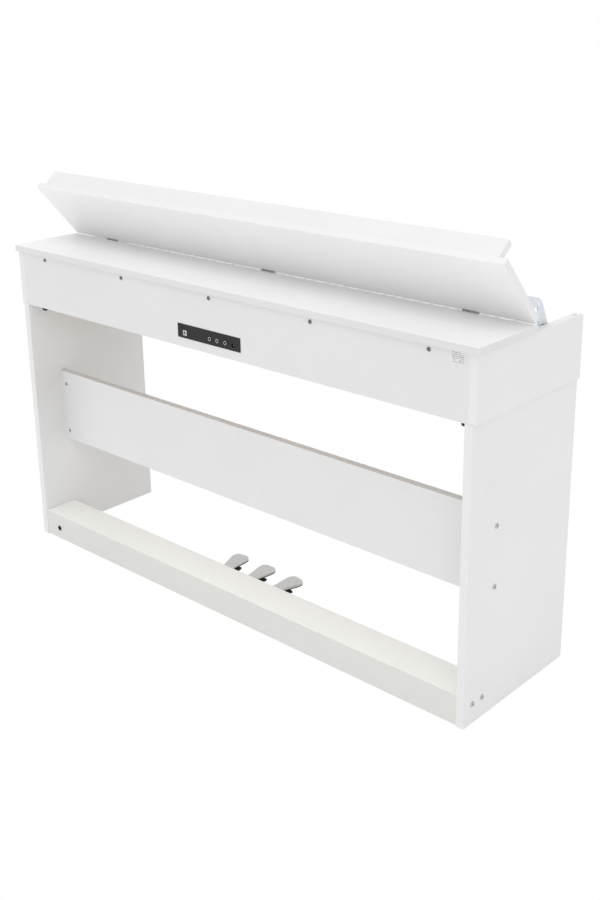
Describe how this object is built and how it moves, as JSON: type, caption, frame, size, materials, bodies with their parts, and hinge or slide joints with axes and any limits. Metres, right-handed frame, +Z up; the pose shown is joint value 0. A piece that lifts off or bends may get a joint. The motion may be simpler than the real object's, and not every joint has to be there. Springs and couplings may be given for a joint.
{
  "type": "digital piano on stand",
  "caption": "Slim cabinet digital piano with a hinged keyboard lid standing open, on a panel stand with a low cross panel and a box of foot pedals.",
  "frame": {"origin": "centre of the bounding box at floor level, lid open", "axes": "+X along the keyboard towards the treble end, +Y from the player towards the rear panel, +Z up"},
  "size_m": [1.392, 0.368, 0.959],
  "materials": {
    "white_board": "white melamine-faced board, satin",
    "warm_board": "off-white wrapped board, satin",
    "white_steel": "white powder coat",
    "zinc": "zinc plated",
    "stay_steel": "bright zinc plated sheet",
    "black_plastic": "moulded, fine texture",
    "jack_metal": "nickel plated",
    "pedal_chrome": "satin nickel",
    "dark_steel": "black coat",
    "label": "printed foil, blank bars",
    "pcb": "solder mask",
    "frame_plastic": "moulded",
    "ivory_white": "satin gloss",
    "bumper_clear": "translucent soft plastic",
    "key_black": "satin"
  },
  "bodies": {
    "piano": {"audio_jacks": "jack_metal", "barrel_nuts": "zinc", "base_board": "warm_board", "case_bolts": "black_plastic", "case_brackets": "white_steel", "cheek_bass": "white_board", "cheek_treble": "white_board", "connector_plate": "black_plastic", "dc_inlet": "black_plastic", "hinge_fixed_leaves": "zinc", "hinge_pins": "zinc", "key_block_bass": "white_board", "key_block_treble": "white_board", "key_frame": "frame_plastic", "key_pivot_rod": "zinc", "key_slip": "white_board", "lid_bumpers": "bumper_clear", "main_board": "pcb", "modesty_panel": "white_board", "pedal_axle": "dark_steel", "pedal_box_ends": "warm_board", "pedal_box_front": "warm_board", "pedal_box_rear": "warm_board", "pedal_box_top": "warm_board", "pedal_bracket": "dark_steel", "pedal_cable_grommet": "black_plastic", "pedal_guides": "black_plastic", "pedal_spring_damper": "dark_steel", "pedal_spring_soft": "dark_steel", "pedal_spring_sostenuto": "dark_steel", "rating_label": "label", "rear_panel": "white_board", "rear_screws": "zinc", "side_panel_bass": "white_board", "side_panel_treble": "white_board", "speaker_grilles": "dark_steel", "speakers": "black_plastic", "stand_bolts": "zinc", "stay_stop_pins": "stay_steel", "top_batten": "warm_board", "top_board": "white_board", "usb_socket": "black_plastic"},
    "lid": {"lid_panel": "white_board", "lid_front_strip": "white_board", "hinge_lid_leaves": "zinc", "lid_stays": "stay_steel"},
    "pedal_left": {"pedal_soft": "pedal_chrome"},
    "pedal_middle": {"pedal_sostenuto": "pedal_chrome"},
    "pedal_right": {"pedal_damper": "pedal_chrome"},
    "power_button": {"power_button": "black_plastic"},
    "volume_knob": {"volume_knob": "black_plastic"},
    "function_buttons": {"function_buttons": "black_plastic"},
    "white_keys_1": {"white_keys_1": "ivory_white"},
    "black_keys_1": {"black_keys_1": "key_black"},
    "white_keys_2": {"white_keys_2": "ivory_white"},
    "black_keys_2": {"black_keys_2": "key_black"},
    "white_keys_3": {"white_keys_3": "ivory_white"},
    "black_keys_3": {"black_keys_3": "key_black"},
    "white_keys_4": {"white_keys_4": "ivory_white"},
    "black_keys_4": {"black_keys_4": "key_black"}
  },
  "joints": [
    {"name": "lid_hinge", "type": "hinge", "parent": "piano", "child": "lid", "pos_m": [0, -0.007, 0.7878], "axis": [1, 0, 0], "range_deg": [0, 130.6]},
    {"name": "pedal_left_press", "type": "hinge", "parent": "piano", "child": "pedal_left", "pos_m": [-0.08, 0.15, 0.042], "axis": [1, 0, 0], "range_deg": [0, 6], "stiffness_Nm_per_rad": 8, "springref_deg": -10.31, "deforming": ["pedal_spring_soft"]},
    {"name": "pedal_middle_press", "type": "hinge", "parent": "piano", "child": "pedal_middle", "pos_m": [0, 0.15, 0.042], "axis": [1, 0, 0], "range_deg": [0, 6], "stiffness_Nm_per_rad": 8, "springref_deg": -10.31, "deforming": ["pedal_spring_sostenuto"]},
    {"name": "pedal_right_press", "type": "hinge", "parent": "piano", "child": "pedal_right", "pos_m": [0.08, 0.15, 0.042], "axis": [1, 0, 0], "range_deg": [0, 6], "stiffness_Nm_per_rad": 8, "springref_deg": -10.31, "deforming": ["pedal_spring_damper"]},
    {"name": "white_keys_1_dip", "type": "hinge", "parent": "piano", "child": "white_keys_1", "pos_m": [0, 0.048, 0.7295], "axis": [1, 0, 0], "range_deg": [0, 2.7], "stiffness_Nm_per_rad": 8, "springref_deg": -17.19},
    {"name": "white_keys_2_dip", "type": "hinge", "parent": "piano", "child": "white_keys_2", "pos_m": [0, 0.048, 0.7295], "axis": [1, 0, 0], "range_deg": [0, 2.7], "stiffness_Nm_per_rad": 8, "springref_deg": -17.19},
    {"name": "white_keys_3_dip", "type": "hinge", "parent": "piano", "child": "white_keys_3", "pos_m": [0, 0.048, 0.7295], "axis": [1, 0, 0], "range_deg": [0, 2.7], "stiffness_Nm_per_rad": 8, "springref_deg": -17.19},
    {"name": "white_keys_4_dip", "type": "hinge", "parent": "piano", "child": "white_keys_4", "pos_m": [0, 0.048, 0.7295], "axis": [1, 0, 0], "range_deg": [0, 2.7], "stiffness_Nm_per_rad": 8, "springref_deg": -17.19},
    {"name": "black_keys_1_dip", "type": "hinge", "parent": "piano", "child": "black_keys_1", "pos_m": [0, 0.048, 0.7295], "axis": [1, 0, 0], "range_deg": [0, 2.7], "stiffness_Nm_per_rad": 4, "springref_deg": -17.19},
    {"name": "black_keys_2_dip", "type": "hinge", "parent": "piano", "child": "black_keys_2", "pos_m": [0, 0.048, 0.7295], "axis": [1, 0, 0], "range_deg": [0, 2.7], "stiffness_Nm_per_rad": 4, "springref_deg": -17.19},
    {"name": "black_keys_3_dip", "type": "hinge", "parent": "piano", "child": "black_keys_3", "pos_m": [0, 0.048, 0.7295], "axis": [1, 0, 0], "range_deg": [0, 2.7], "stiffness_Nm_per_rad": 4, "springref_deg": -17.19},
    {"name": "black_keys_4_dip", "type": "hinge", "parent": "piano", "child": "black_keys_4", "pos_m": [0, 0.048, 0.7295], "axis": [1, 0, 0], "range_deg": [0, 2.7], "stiffness_Nm_per_rad": 4, "springref_deg": -17.19},
    {"name": "power_press", "type": "slide", "parent": "piano", "child": "power_button", "axis": [0, 0, -1], "range_m": [0, 0.0012], "stiffness_N_per_m": 800, "springref_m": -0.002},
    {"name": "function_press", "type": "slide", "parent": "piano", "child": "function_buttons", "axis": [0, 0, -1], "range_m": [0, 0.0012], "stiffness_N_per_m": 1600, "springref_m": -0.002},
    {"name": "volume_turn", "type": "hinge", "parent": "piano", "child": "volume_knob", "pos_m": [-0.64, -0.106, 0.73], "axis": [0, 0, 1], "range_deg": [-140, 140]}
  ]
}
